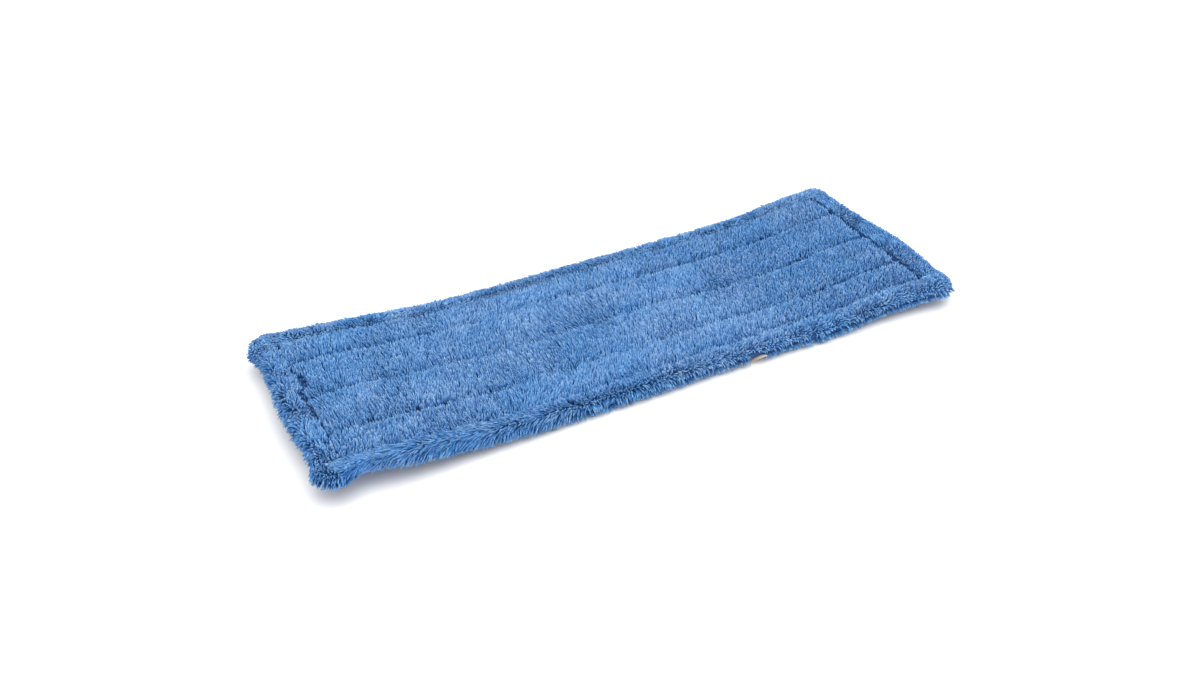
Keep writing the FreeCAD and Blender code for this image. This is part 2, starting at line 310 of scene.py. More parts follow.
def rounded_grid(half_length, half_width, radius, step_x, step_y):
    """x and y over a rectangle with rounded corners, in rows across the pad."""
    x = np.linspace(-half_length, half_length, int(2 * half_length / step_x) + 1)
    past = np.clip(np.abs(x) - (half_length - radius), 0, radius)
    width = half_width - radius + np.sqrt(np.maximum(radius**2 - past**2, 0))
    v = np.linspace(-1, 1, int(2 * half_width / step_y) + 1)
    return np.repeat(x[:, None], len(v), 1), width[:, None] * v[None, :]


# ---------------------------------------------------------------- materials

def new_material(name, roughness, sheen, tint, specular=0.3):
    """A cloth material: its nodes, its links and its shader."""
    material = bpy.data.materials.new(name)
    material.use_nodes = True
    nodes, links = material.node_tree.nodes, material.node_tree.links
    shader = nodes["Principled BSDF"]
    shader.inputs["Roughness"].default_value = roughness
    shader.inputs["Sheen Weight"].default_value = sheen
    shader.inputs["Sheen Roughness"].default_value = 0.45
    shader.inputs["Sheen Tint"].default_value = (*tint, 1)
    shader.inputs["Specular IOR Level"].default_value = specular
    return material, nodes, links, shader


def noise(nodes, links, scale, detail=3.0, stretch=(1, 1, 1)):
    """A noise texture in the object's own coordinates."""
    place = nodes.new("ShaderNodeTexCoord")
    mapping = nodes.new("ShaderNodeMapping")
    mapping.inputs["Scale"].default_value = stretch
    texture = nodes.new("ShaderNodeTexNoise")
    texture.inputs["Scale"].default_value = scale
    texture.inputs["Detail"].default_value = detail
    links.new(place.outputs["Object"], mapping.inputs["Vector"])
    links.new(mapping.outputs["Vector"], texture.inputs["Vector"])
    return texture.outputs["Fac"]


def ramp(nodes, links, source, stops):
    """A colour ramp over source, from (place, colour) stops."""
    node = nodes.new("ShaderNodeValToRGB")
    elements = node.color_ramp.elements
    while len(elements) < len(stops):
        elements.new(0.5)
    for element, (place, colour) in zip(elements, stops):
        element.position = place
        element.color = (*colour, 1)
    links.new(source, node.inputs["Fac"])
    return node.outputs["Color"]


def multiply(nodes, links, colour, factor):
    """colour times factor, which is a grey or a colour."""
    node = nodes.new("ShaderNodeMix")
    node.data_type = "RGBA"
    node.blend_type = "MULTIPLY"
    node.inputs["Factor"].default_value = 1.0
    links.new(colour, node.inputs["A"])
    links.new(factor, node.inputs["B"])
    return node.outputs["Result"]


def attribute(nodes, name):
    node = nodes.new("ShaderNodeAttribute")
    node.attribute_name = name
    return node.outputs["Fac"]


def bump(nodes, links, shader, height, strength, distance):
    node = nodes.new("ShaderNodeBump")
    node.inputs["Strength"].default_value = strength
    node.inputs["Distance"].default_value = distance
    links.new(height, node.inputs["Height"])
    links.new(node.outputs["Normal"], shader.inputs["Normal"])


def pile_material():
    """Microfibre strands, uneven from strand to strand, with painted shade towards the root and a
    painted highlight at the tip.
    """
    material, nodes, links, shader = new_material("pile", 0.85, 0.1, (0.6, 0.75, 1.0), 0.12)
    # Painted light: the ramp over along darkens each strand towards its root as the shade between
    # strands, and lightens its tip as a highlight.
    colour = ramp(nodes, links, attribute(nodes, "along"), [
        (0.0, (0.008, 0.068, 0.260)),
        (0.5, (0.055, 0.215, 0.575)),
        (0.8, (0.160, 0.410, 0.830)),
        (1.0, (0.305, 0.570, 0.930)),
    ])
    strand = ramp(nodes, links, attribute(nodes, "tone"), [
        (0.12, (0.40, 0.55, 0.70)),
        (0.5, (0.92, 0.96, 0.98)),
        (0.88, (1.66, 1.36, 1.14)),
    ])
    colour = multiply(nodes, links, colour, strand)
    patch = ramp(nodes, links, noise(nodes, links, 35, 3.0), [
        (0.35, (0.84, 0.95, 0.99)),
        (0.65, (1.16, 1.03, 1.00)),
    ])
    colour = multiply(nodes, links, colour, patch)
    fibre = noise(nodes, links, 1500, 2.0)
    streak = ramp(nodes, links, fibre, [(0.3, (0.82, 0.86, 0.90)), (0.7, (1.14, 1.10, 1.05))])
    colour = multiply(nodes, links, colour, streak)
    links.new(colour, shader.inputs["Base Color"])
    bump(nodes, links, shader, fibre, 0.5, 0.2 * MM)
    return material


def woven_material(name, light, dark, pitch, roughness=0.75, sheen=0.15):
    """Plain weave: two crossed waves, one along X and one along Y."""
    material, nodes, links, shader = new_material(name, roughness, sheen, (0.8, 0.85, 1.0), 0.3)
    place = nodes.new("ShaderNodeTexCoord")
    waves = []
    for direction in ("X", "Y"):
        wave = nodes.new("ShaderNodeTexWave")
        wave.bands_direction = direction
        wave.inputs["Scale"].default_value = math.pi / (10 * pitch)
        wave.inputs["Distortion"].default_value = 0.6
        wave.inputs["Detail Scale"].default_value = 2.0
        links.new(place.outputs["Object"], wave.inputs["Vector"])
        waves.append(wave.outputs["Fac"])
    height = nodes.new("ShaderNodeMath")
    height.operation = "MAXIMUM"
    links.new(waves[0], height.inputs[0])
    links.new(waves[1], height.inputs[1])
    colour = ramp(nodes, links, height.outputs[0], [(0.25, dark), (0.95, light)])
    patch = ramp(nodes, links, noise(nodes, links, 30, 4.0), [
        (0.3, (0.85, 0.87, 0.90)),
        (0.7, (1.08, 1.06, 1.04)),
    ])
    links.new(multiply(nodes, links, colour, patch), shader.inputs["Base Color"])
    bump(nodes, links, shader, height.outputs[0], 0.6, 0.15 * MM)
    return material


def felt_material():
    """Needled felt: fine tangled fibres."""
    material, nodes, links, shader = new_material("felt", 0.95, 0.2, (1.0, 1.0, 1.0), 0.1)
    fibres = noise(nodes, links, 900, 6.0)
    colour = ramp(nodes, links, fibres, [(0.3, (0.04, 0.12, 0.36)), (0.7, (0.12, 0.24, 0.56))])
    links.new(colour, shader.inputs["Base Color"])
    bump(nodes, links, shader, fibres, 0.7, 0.3 * MM)
    return material


def thread_material(name, light, dark):
    """Sewing thread: bands of twist along each stitch."""
    material, nodes, links, shader = new_material(name, 0.6, 0.2, (0.9, 0.93, 1.0), 0.4)
    fibre = noise(nodes, links, 2600, 2.0)
    colour = ramp(nodes, links, fibre, [(0.3, dark), (0.7, light)])
    links.new(colour, shader.inputs["Base Color"])
    bump(nodes, links, shader, fibre, 0.6, 0.15 * MM)
    return material


def floor_material():
    """The pale floor, with a trace of unevenness."""
    material, nodes, links, shader = new_material("floor", 0.8, 0.0, (1, 1, 1), 0.1)
    colour = ramp(nodes, links, noise(nodes, links, 4, 2.0), [
        (0.0, (0.90, 0.90, 0.90)),
        (1.0, (0.92, 0.92, 0.92)),
    ])
    links.new(colour, shader.inputs["Base Color"])
    return material


# ---------------------------------------------------------------- pile

SEAMS = {
    "near": ("x", QUILTING["near"]),
    "middle": ("x", QUILTING["middle"]),
    "far": ("x", QUILTING["far"]),
    "near_border": ("x", -SEAM_SIDE),
    "far_border": ("x", SEAM_SIDE),
    "left_end": ("y", -SEAM_END),
    "right_end": ("y", SEAM_END),
}

# How far the pile parts along each seam, from 0 to 1, as (distance along, opening).
OPENING = {
    "near": [(-0.20, 1.0), (-0.13, 0.8), (-0.07, 0.15), (0.03, 0.2), (0.09, 0.9), (0.20, 1.0)],
    "middle": [(-0.20, 1.0), (-0.14, 0.9), (-0.08, 0.15), (0.03, 0.1), (0.08, 0.9), (0.20, 1.0)],
    "far": [(-0.20, 1.0), (-0.12, 0.9), (-0.06, 0.15), (0.03, 0.4), (0.06, 1.0), (0.20, 1.0)],
    "near_border": [
        (-0.20, 0.1), (-0.18, 0.5), (-0.15, 0.9), (-0.08, 0.8), (-0.03, 0.65), (0.13, 0.6), (0.2, 0.9)
    ],
    "far_border": [(-0.20, 0.5), (-0.11, 0.6), (-0.03, 0.25), (0.05, 0.05), (0.20, 0.05)],
    "left_end": [(-0.06, 0.1), (-0.04, 0.4), (-0.032, 1.4), (0.032, 1.4), (0.04, 0.3), (0.06, 0.2)],
    "right_end": [(-0.06, 0.3), (-0.05, 0.7), (0.05, 0.8), (0.06, 0.4)],
}

# How far the parting steps sideways of each seam, here and there.
STEPS = {"left_end": 3.6 * MM, "right_end": 1.8 * MM}


def stitch_places(reach):
    """Distances along a seam at which its stitches go down."""
    count = int(2 * reach / STITCH_PITCH)
    return (np.arange(count) - (count - 1) / 2) * STITCH_PITCH


def opening_at(name, along):
    """How far the pile parts at each stitch of a seam, uneven from stitch to stitch."""
    knots = np.array(OPENING[name])
    rng = np.random.default_rng(30 + list(SEAMS).index(name))
    uneven = 0.25 * ripple(along, 0 * along, 0.02, 31) + rng.uniform(-0.6, 0.3, len(along))
    return np.clip(np.interp(along, knots[:, 0], knots[:, 1]) + uneven, 0, 1)


def part_at_seams(x, y):
    """Where strands are left out round the stitch holes, and how the others lean and shorten."""
    keep = np.ones(len(x), bool)
    lean = np.zeros((len(x), 3))
    shorten = np.ones(len(x))
    for name, (direction, line) in SEAMS.items():
        along, across = (x, y - line) if direction == "x" else (y, x - line)
        holes = stitch_places(SEAM_END if direction == "x" else SEAM_SIDE)
        nearest = np.clip(np.rint((along - holes[0]) / STITCH_PITCH), 0, len(holes) - 1)
        nearest = nearest.astype(int)
        strength = opening_at(name, holes)[nearest]
        rng = np.random.default_rng(60 + list(SEAMS).index(name))
        steps = np.repeat(rng.uniform(-1, 1, len(holes)), 3)[: len(holes)]
        across = across - STEPS.get(name, 0.4 * MM) * steps[nearest]
        gap = np.hypot((along - holes[nearest]) * (0.85 if direction == "x" else 0.6), across)
        keep &= gap > (0.15 + (1.5 if direction == "x" else 1.25) * strength) * MM
        away = np.tanh(across / (0.6 * MM)) * strength * np.exp(-((across / (2.6 * MM)) ** 2))
        away = away * (np.abs(along) < -holes[0] + STITCH_PITCH)
        lean[:, 1 if direction == "x" else 0] += 0.6 * away
        shorten *= 1 - 0.5 * strength * np.exp(-((gap / (2.1 * MM)) ** 2))
    return keep, lean, np.maximum(shorten, 0.35)


def brushed(x, y):
    """Which way the pile has been brushed: long in the middle, nearly upright at the right."""
    edge = 0.012 * ripple(x, y, 0.03, 40)
    centre = smoothstep(-0.080, -0.066, x + edge) * (1 - smoothstep(0.085, 0.10, x + edge))
    centre = centre * (1 - smoothstep(0.03, 0.04, y) * smoothstep(0.035, 0.045, x))
    left = smoothstep(-0.066, -0.080, x + edge)
    patch = smoothstep(-0.25, 0.25, ripple(x, y, 0.024, 41) + 0.7 * centre)
    strength = 0.16 + 0.34 * centre + 0.22 * left
    strength = strength * (0.75 + 0.25 * patch) * (1 + 0.25 * ripple(x, y, 0.02, 42))
    heading = math.radians(85) + 0.5 * ripple(x, y, 0.04, 43) + 0.7 * (1 - patch)
    return np.stack([strength * np.cos(heading), strength * np.sin(heading), 0 * x], -1)


def clumps(x, y, seed):
    """A lean that draws neighbouring strands together, and the shade of each clump from 0 to 1."""
    rng = np.random.default_rng(seed)
    table = rng.uniform(0, 1, (3, 64, 64))
    column = np.floor(x / CLUMP).astype(int)
    row = np.floor(y / CLUMP).astype(int)
    offset_x, offset_y, shade = table[:, column % 64, row % 64]
    centre_x = (column + 0.1 + 0.8 * offset_x) * CLUMP
    centre_y = (row + 0.1 + 0.8 * offset_y) * CLUMP
    return np.stack([centre_x - x, centre_y - y, 0 * x], -1) / FIELD_LENGTH, shade


def jittered_grid(x_low, x_high, y_low, y_high, spacing, rng):
    """Uneven points over a rectangle, in staggered rows."""
    x = np.arange(x_low + spacing / 2, x_high, spacing)
    y = np.arange(y_low + spacing / 2, y_high, spacing * 0.87)
    grid_x, grid_y = np.meshgrid(x, y)
    grid_x = grid_x + (np.arange(len(y)) % 2)[:, None] * spacing / 2
    x = grid_x.ravel() + rng.uniform(-0.4, 0.4, grid_x.size) * spacing
    y = grid_y.ravel() + rng.uniform(-0.4, 0.4, grid_y.size) * spacing
    inside = (x > x_low) & (x < x_high) & (y > y_low) & (y < y_high)
    return x[inside], y[inside]


def strands(name, roots, heading, bend, length, shade, steps, rng, material, start=0.0):
    """Bent, twisted, tapering strands of pile that stay above the floor."""
    steps = np.array(steps)
    heading = unit(heading)
    path = steps[None, :, None] * heading[:, None, :]
    path = path + 0.5 * (steps**2)[None, :, None] * bend[:, None, :]
    centres = roots[:, None, :] + length[:, None, None] * path
    taper = np.where(steps < 1, 1.0, 0.42) * np.where(steps > 0, 1.0, 0.8)
    radii = STRAND_RADIUS * rng.uniform(0.8, 1.25, len(roots))[:, None] * taper[None, :]
    centres[..., 2] = np.maximum(centres[..., 2], FLOOR_GAP + radii)
    tone = 0.55 * rng.uniform(0, 1, len(roots)) + 0.45 * shade
    return tubes_object(name, centres, radii, 3, material, rng, 0.9, start, tone)


def channel_pile(name, x_range, y_range, seed, material):
    """The pile of a stretch of one quilted channel of the face cloth."""
    rng = np.random.default_rng(seed)
    x, y = jittered_grid(*x_range, *y_range, FIELD_SPACING, rng)
    keep, parting, shorten = part_at_seams(x, y)
    x, y, parting, shorten = x[keep], y[keep], parting[keep], shorten[keep]
    normal = upright(ground_high, x, y)
    roots = np.stack([x, y, ground_high(x, y) - 0.3 * MM], -1)
    nap = brushed(x, y)
    heading = normal + parting + 0.8 * nap + 0.13 * rng.normal(size=normal.shape)
    pull, shade = clumps(x, y, 51)
    bend = 0.9 * nap + 0.55 * pull + 0.14 * rng.normal(size=normal.shape)
    length = FIELD_LENGTH * shorten * rng.uniform(0.88, 1.08, len(x))
    return strands(name, roots, heading, bend, length, shade, (0, 0.55, 1), rng, material)


# ---------------------------------------------------------------- hems

def corner_bulge(x, y):
    """How far the roll stands out of line: a puffed lobe at each corner, with a notch beside one."""
    lobes = (
        (-0.207, -0.063, 9 * MM, 5.4 * MM),
        (-0.186, -0.067, 13 * MM, -3.6 * MM),
        (-0.206, 0.063, 11 * MM, 5.0 * MM),
        (-0.206, 0.000, 42 * MM, 3.4 * MM),
        (0.206, -0.018, 40 * MM, 7.0 * MM),
        (0.200, -0.066, 16 * MM, 3.0 * MM),
        (0.120, -0.068, 50 * MM, 2.0 * MM),
        (-0.100, 0.068, 55 * MM, -1.2 * MM),
        (0.020, 0.068, 55 * MM, -1.6 * MM),
        (0.130, 0.068, 55 * MM, -1.6 * MM),
        (0.206, -0.066, 6 * MM, 3.0 * MM),
        (0.206, 0.066, 4 * MM, 2.0 * MM),
    )
    out = 0 * x
    for lobe_x, lobe_y, size, height in lobes:
        out = out + height * np.exp(-((np.hypot(x - lobe_x, y - lobe_y) / size) ** 2))
    return out


def hem_route(which, spacing):
    """Points on the middle line of a hem, the way outwards and the roll's half width at each."""
    end, side = HALF_LENGTH - HEM_INSET, HALF_WIDTH - HEM_INSET
    straight_x, straight_y = end - HEM_CORNER, side - HEM_CORNER
    if which in ("left_end", "right_end"):
        sign = -1 if which == "left_end" else 1
        count = int(2 * straight_y / spacing) + 1
        y = np.linspace(-straight_y, straight_y, count)
        points = np.stack([np.full(count, sign * end), y], -1)
        outward = np.tile([sign * 1.0, 0.0], (count, 1))
    else:
        sign = -1 if which == "near" else 1
        arc = HEM_CORNER * math.pi / 2
        total = 2 * arc + 2 * straight_x
        s = np.linspace(0, total, int(total / spacing) + 1)
        turn = np.clip(s / arc, 0, 1) + np.clip((s - total + arc) / arc, 0, 1)
        angle = math.pi - turn * math.pi / 2
        centre_x = np.clip(s - arc, 0, 2 * straight_x) - straight_x
        outward = np.stack([np.cos(angle), sign * np.sin(angle)], -1)
        centre = np.stack([centre_x, np.full(len(s), sign * straight_y)], -1)
        points = centre + HEM_CORNER * outward
    bulge = corner_bulge(points[:, 0], points[:, 1])
    bulge = bulge + 0.4 * MM * ripple(points[:, 0], points[:, 1], 0.03, 61)
    return points + bulge[:, None] / 2 * outward, outward, HEM_ACROSS + bulge / 2


def hem_surface(points, outward, across, angle):
    """Place and normal on the roll, at an angle from straight outwards to up and over."""
    cosine, sine = np.cos(angle), np.sin(angle)
    plan = points + (across * cosine)[..., None] * outward
    height = lift(points[..., 0], points[..., 1]) + HEM_CENTRE + HEM_UP * sine
    level = outward * (cosine / across)[..., None]
    normal = np.concatenate([level, (sine / HEM_UP)[..., None]], -1)
    return np.concatenate([plan, height[..., None]], -1), unit(normal)


def hem_roll(name, which, material):
    """The hem's ground cloth: a roll with closed ends."""
    route = hem_route(which, 3 * MM)
    sides = 28
    points, outward, across = (np.repeat(part[:, None], sides, 1) for part in route)
    angle = np.broadcast_to(2 * math.pi * np.arange(sides) / sides, across.shape)
    place, _ = hem_surface(points, outward, across, angle)
    return rings_object(name, place[None], material)


def hem_points(which, low, high, rng):
    """Roots and normals scattered over a band of the roll, with the way outwards and the angle."""
    points, outward, across = hem_route(which, HEM_SPACING)
    station = np.arange(len(points))
    edge = points + 0.8 * across[:, None] * outward
    run = np.concatenate([[0], np.cumsum(np.linalg.norm(np.diff(edge, axis=0), axis=1))])
    columns = np.interp(np.arange(0, run[-1], HEM_SPACING), run, station)
    fine = np.linspace(low, high, 60)
    arc = np.cumsum(np.hypot(HEM_ACROSS * np.sin(fine), HEM_UP * np.cos(fine))) * (fine[1] - fine[0])
    rows = int((arc[-1] - arc[0]) / HEM_SPACING)
    index = np.repeat(columns, rows) + rng.uniform(-0.5, 0.5, len(columns) * rows)
    row = np.tile(np.arange(rows) + 0.5, len(columns)) + rng.uniform(-0.45, 0.45, len(index))
    angle = np.interp(arc[0] + row * HEM_SPACING, arc, fine)
    point = np.stack([np.interp(index, station, points[:, k]) for k in (0, 1)], -1)
    out = unit(np.stack([np.interp(index, station, outward[:, k]) for k in (0, 1)], -1))
    roots, normal = hem_surface(point, out, np.interp(index, station, across), angle)
    return roots - 0.3 * MM * normal, normal, out, angle


# Each hem's longest strands, as a share of HEM_OVER.
HEM_SHARE = {"near": 1.0, "far": 0.75, "left_end": 0.85, "right_end": 0.72}

# How much the strands of each hem hang down at its outer side.
DROOP = {"near": 0.55, "far": 0.3, "left_end": 0.9, "right_end": 0.6}

# How far along the pile's colour ramp the root of a hem's strand starts, and so how little of the
# ramp's painted root shade it gets: a hem that turns away looks dark.
ROOT_SHADE = {"near": 0.12, "far": 0.4, "left_end": 0.15, "right_end": 0.15}

# How much the strands of each hem gather into tufts.
TUFTED = {"near": 0.25, "far": 0.35, "left_end": 0.25, "right_end": 0.25}


def long_share(which, x):
    """Where the strands are long and hang down: everywhere but at the right of the near hem."""
    return smoothstep(0.07, -0.07, x) if which == "near" else np.ones_like(x)


def droop(which, x):
    """How much the hem's strands hang down at its outer side."""
    more = long_share(which, x) + smoothstep(0.185, 0.198, x)
    return DROOP[which] + (which == "near") * 0.45 * more


def sweep(which, x, y):
    """How far the hem's strands are combed to the right of straight outwards, along the edge."""
    uneven = 0.5 * ripple(x, y, 0.022, 71) + 0.3 * ripple(x, y, 0.008, 72)
    if which == "near":
        left = smoothstep(-0.03, -0.10, x) * smoothstep(-0.208, -0.195, x)
        return uneven * (0.4 + 0.6 * left) - 1.5 * left
    return uneven


def trimmed(x, y):
    """The strands are shorter round the corners, and beside the lobe at one of them."""
    corner = np.hypot(np.abs(x) - 0.206, np.abs(y) - 0.066) / (16 * MM)
    beside = np.hypot(x + 0.182, y + 0.070) / (18 * MM)
    return (1 - 0.3 * np.exp(-(corner**2))) * (1 - 0.15 * np.exp(-(beside**2)))


def over_label(x, angle):
    """Where the hem is clear of strands, for the label under it and its corner that curls out."""
    low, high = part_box("right_care_label")
    beside = (x > high.x - CLEAR_BEFORE) & (x < high.x + CLEAR_AFTER)
    above = (x > low.x - 1 * MM) & (x < high.x)
    return (beside & (angle < CLEAR_UP)) | (above & (angle < CLEAR_UNDER))


def hem_roots(which, rng):
    """Roots over the crease and below it, with their normals, ways outwards and angles."""
    over = hem_points(which, OVER_FROM, OVER_TO, rng)
    below = hem_points(which, BELOW_FROM, BELOW_TO, rng)
    return [np.concatenate(pair) for pair in zip(over, below)]


def closing(angle):
    """How far the strands beside the crease bend up or down to close it."""
    return np.where(angle > CREASE, -0.75, 0.35) * np.exp(-(((angle - CREASE) / 0.5) ** 2))


def hem_lengths(which, x, y, angle, outer):
    """How long the strands of a hem are, before seams and chance shorten them."""
    extra = (HEM_OVER - FIELD_LENGTH) * smoothstep(0, 0.5, outer) * long_share(which, x)
    length = HEM_SHARE[which] * np.where(angle > CREASE, FIELD_LENGTH + extra, HEM_BELOW)
    return length * (1 - 0.4 * smoothstep(0, -0.9, angle)) * trimmed(x, y)


def hem_pile(name, which, seed, material):
    """Longer strands that hang outwards over the roll, and short ones below a crease."""
    rng = np.random.default_rng(seed)
    roots, normal, out, angle = hem_roots(which, rng)
    x, y = roots[:, 0], roots[:, 1]
    keep, parting, shorten = part_at_seams(x, y)
    if which == "near":
        keep &= ~over_label(x, angle)
    upper = (angle > CREASE)[:, None]
    outward = np.concatenate([out, 0 * x[:, None]], -1)
    tangent = np.abs(np.stack([out[:, 1], out[:, 0], 0 * x], -1))
    up = np.array([0, 0, 1.0])
    combed = sweep(which, x, y)[:, None] * tangent * np.where(upper, 0.75, 0.25)
    outer = droop(which, x) * smoothstep(*DROOPING, angle)
    outer = outer[:, None] * upper
    inner = smoothstep(*RISING, angle)[:, None]
    jitter = 0.10 * rng.normal(size=(2, *normal.shape))
    tufts = TUFTED[which] * ripple(x, y, 0.005, 74)[:, None] * outward
    heading = normal + inner * 0.9 * up + outer * 0.2 * outward + parting
    heading = heading - (which == "far") * 0.45 * inner * outward
    heading = heading + 0.6 * combed + tufts + jitter[0]
    pull, shade = clumps(x, y, 73)
    bend = combed + 0.9 * pull + jitter[1] + (closing(angle)[:, None] - 0.2 - 1.25 * outer) * up
    length = hem_lengths(which, x, y, angle, outer[:, 0])
    length = length * shorten * rng.uniform(0.78, 1.12, len(x))
    # How much of the painted root shade each strand skips: more on the right of the near hem, where
    # less painted shade is wanted.
    root = ROOT_SHADE[which] + (which == "near") * 0.25 * smoothstep(-0.08, 0, x)
    shown = (part[keep] for part in (roots, heading, bend, length, shade))
    return strands(name, *shown, (0, 0.36, 0.72, 1), rng, material, root[keep])


# ---------------------------------------------------------------- seams

def stitch_row(name, direction, line, reach, height, side, material, seed):
    """One row of stitches. side is 1 on the pile side and -1 on the underside."""
    rng = np.random.default_rng(seed)
    places = stitch_places(reach)
    t = np.linspace(-0.5, 0.5, 7)
    along = places[:, None] + t[None, :] * STITCH_PITCH * 0.72
    across = line + rng.normal(0, 0.12 * MM, len(places))[:, None] + 0 * along
    x, y = (along, across) if direction == "x" else (across, along)
    dip = 0.55 * MM * (2 * np.abs(t[None, :])) ** 4
    z = height(x, y) + side * (STITCH_RADIUS * 0.7 - dip)
    centres = np.stack([x, y, z], -1)
    radii = STITCH_RADIUS * np.broadcast_to(1 - 0.25 * (2 * np.abs(t)) ** 6, x.shape)
    return tubes_object(name, centres, radii, 6, material, rng, twist=0.5)


def join(name, pieces):
    """One object from several, with the first one's material."""
    bpy.ops.object.select_all(action="DESELECT")
    for piece in pieces:
        piece.select_set(True)
    bpy.context.view_layer.objects.active = pieces[0]
    bpy.ops.object.join()
    pieces[0].name = name
    return pieces[0]


# ---------------------------------------------------------------- pockets and label

SETTLED = {}                    # heights of each pocket panel after its simulation


def rim_inset(x, y):
    """Distance from the sewn rim of a pocket, which is open at its mouth."""
    return np.minimum(RIM_END - np.abs(x), RIM_SIDE - np.abs(y))


def cut_panel(x, y):
    """A pocket panel as it is sewn on: fast at its rim, full and uneven inside it."""
    rim = lift(x, y) - PANEL
    slack = FLOOR_GAP + 0.5 * MM * (1 + ripple(x, y, 0.025, 81)) * smoothstep(0, 0.02, rim_inset(x, y))
    share = smoothstep(5 * MM, 19 * MM, rim_inset(x, y))
    return np.maximum(rim * (1 - share) + np.minimum(slack, rim) * share, FLOOR_GAP)


def pocket_grid(side, columns, rows):
    """x and y over one pocket panel, with x rising."""
    x = np.linspace(POCKET_MOUTH, RIM_END, columns)
    x = -x[::-1] if side == "left" else x
    return np.meshgrid(x, np.linspace(-RIM_SIDE, RIM_SIDE, rows), indexing="ij")


def loose_panel(side, x, y):
    """The cloth of a pocket before it settles: too full, and raised where it isn't sewn."""
    full = 1.2 * MM * ripple(x, y, 0.03, 82) * smoothstep(5 * MM, 20 * MM, rim_inset(x, y))
    start = np.stack([x, y, np.maximum(cut_panel(x, y) + full, FLOOR_GAP) + SLACK_DROP], -1)
    held = rim_inset(x, y) < SEWN_MARGIN
    start[..., 2] -= SLACK_DROP * held
    index, quads = grid_faces(x.shape)
    material = bpy.data.materials.new("slack")
    panel = mesh_object(f"{side}_slack", start.reshape(-1, 3), [quads], material)
    sewn = panel.vertex_groups.new(name="sewn")
    sewn.add(index[held].tolist(), 1.0, "REPLACE")
    return panel


def add_cloth(panel):
    """Blender's cloth on the panel, held where it is sewn."""
    cloth = panel.modifiers.new("cloth", "CLOTH")
    cloth.settings.quality = 8
    cloth.settings.mass = 0.1
    cloth.settings.tension_stiffness = 12
    cloth.settings.compression_stiffness = 8
    cloth.settings.bending_stiffness = 0.3
    cloth.settings.vertex_group_mass = "sewn"
    cloth.collision_settings.distance_min = 1 * MM


def dropped_panel(side):
    """Heights of one pocket panel after a cloth simulation has let it fall on a plane."""
    x, y = pocket_grid(side, *SLACK_GRID)
    panel = loose_panel(side, x, y)
    add_cloth(panel)
    bpy.ops.mesh.primitive_plane_add(size=1, location=(0, 0, FLOOR_GAP - STOP_DEPTH))
    stop = bpy.context.object
    stop.modifiers.new("stop", "COLLISION")
    stop.collision.thickness_outer = 1 * MM
    for step in range(1, SLACK_STEPS + 1):
        bpy.context.scene.frame_set(step)
    settled = panel.evaluated_get(bpy.context.evaluated_depsgraph_get()).data
    places = np.empty(3 * x.size, np.float32)
    settled.vertices.foreach_get("co", places)
    material = panel.data.materials[0]
    bpy.data.objects.remove(panel)
    bpy.data.objects.remove(stop)
    bpy.data.materials.remove(material)
    bpy.context.scene.frame_set(1)
    return places.reshape(*x.shape, 3)[..., 2]


def panel_low(x, y):
    """Underside of a pocket panel: the settled cloth, read between the points of its grid.

    The simulation knows only the plane below, so the cloth is kept under the pad here."""
    low = cut_panel(x, y)
    for side, heights in SETTLED.items():
        start = -RIM_END if side == "left" else POCKET_MOUTH
        u = np.clip((x - start) / (RIM_END - POCKET_MOUTH), 0, 1) * (SLACK_GRID[0] - 1.001)
        v = np.clip((y + RIM_SIDE) / (2 * RIM_SIDE), 0, 1) * (SLACK_GRID[1] - 1.001)
        i, j = u.astype(int), v.astype(int)
        u, v = u - i, v - j
        near = heights[i, j] * (1 - u) + heights[i + 1, j] * u
        far = heights[i, j + 1] * (1 - u) + heights[i + 1, j + 1] * u
        under_pad = np.minimum(near * (1 - v) + far * v, lift(x, y) - PANEL)
        settled = np.maximum(under_pad, FLOOR_GAP)
        low = np.where(x < 0 if side == "left" else x > 0, settled, low)
    return low


def panel_high(x, y):
    return panel_low(x, y) + PANEL


def pocket_panel(side, material):
    """The slack cloth of one pocket."""
    grid_x, grid_y = pocket_grid(side, 110, 116)
    return shell_object(f"{side}_pocket_cloth", grid_x, grid_y, panel_low, panel_high, material)


def mouth_hem(side, material):
    """The turned edge of one pocket's mouth, on the inside of the panel."""
    sign = -1 if side == "left" else 1
    x = sign * np.linspace(POCKET_MOUTH, POCKET_MOUTH + TURNING, 12)[::sign]
    y = np.linspace(-RIM_SIDE + TURNING_INSET, RIM_SIDE - TURNING_INSET, 90)
    grid_x, grid_y = np.meshgrid(x, y, indexing="ij")

    def low(x, y):
        return panel_high(x, y) + 0.05 * MM

    def high(x, y):
        edge = np.abs(np.abs(x) - POCKET_MOUTH - TURNING / 2) / (TURNING / 2)
        room = np.clip(backing_low(x, y) - low(x, y), 0.12 * MM, 0.55 * MM)
        return low(x, y) + room * (1 - 0.6 * edge**6)

    return shell_object(f"{side}_pocket_mouth_turning", grid_x, grid_y, low, high, material)


def mouth_seam(side, material):
    """Two rows of stitches across the pocket's mouth, which hold its turned edge."""
    sign = -1 if side == "left" else 1
    reach = RIM_SIDE - 9 * MM
    t = np.linspace(-0.4, 0.4, 7)
    count = int(2 * reach / POCKET_STITCH)
    places = (np.arange(count) - (count - 1) / 2) * POCKET_STITCH
    y = np.tile(places[:, None] + t[None, :] * POCKET_STITCH, (2, 1))
    inset = np.repeat([1.6 * MM, 8.4 * MM], count)[:, None]
    x = sign * (POCKET_MOUTH + inset) + 0 * y
    z = panel_low(x, y) - STITCH_RADIUS * (0.4 - 1.5 * (2 * np.abs(t)) ** 4)
    centres = np.stack([x, y, np.maximum(z, FLOOR_GAP)], -1)
    radii = np.full(x.shape, STITCH_RADIUS * 0.8)
    rng = np.random.default_rng(405)
    return tubes_object(f"{side}_mouth_stitches", centres, radii, 6, material, rng, twist=0.5)


